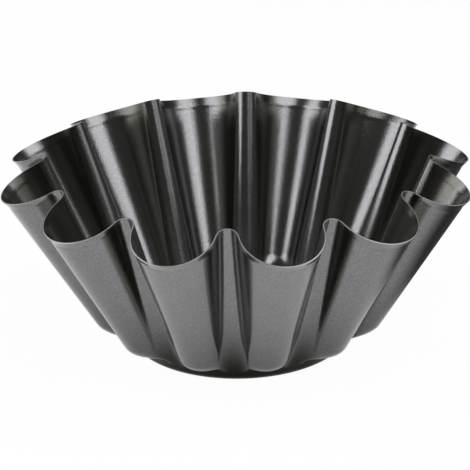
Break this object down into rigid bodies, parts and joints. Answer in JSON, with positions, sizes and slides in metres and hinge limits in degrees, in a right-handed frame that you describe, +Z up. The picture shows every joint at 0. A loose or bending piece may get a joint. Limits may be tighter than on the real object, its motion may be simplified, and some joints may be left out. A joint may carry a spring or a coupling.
{
  "type": "flan mould",
  "caption": "Deep fluted flan mould of pressed sheet steel on a short round foot, with a dark non-stick lining, a satin grey outside and a plain cut rim.",
  "frame": {"origin": "centre of the underside of the flat base", "axes": "+Z up along the mould's axis, out of its mouth; a ridge between two lobes faces -Y"},
  "size_m": [0.2134, 0.2134, 0.0908],
  "materials": {
    "bare_steel": "satin",
    "lining": "gloss",
    "coating": "satin"
  },
  "bodies": {
    "root": {"pressed_steel_shell": "bare_steel", "nonstick_lining": "lining", "outer_coating": "coating"}
  },
  "joints": []
}
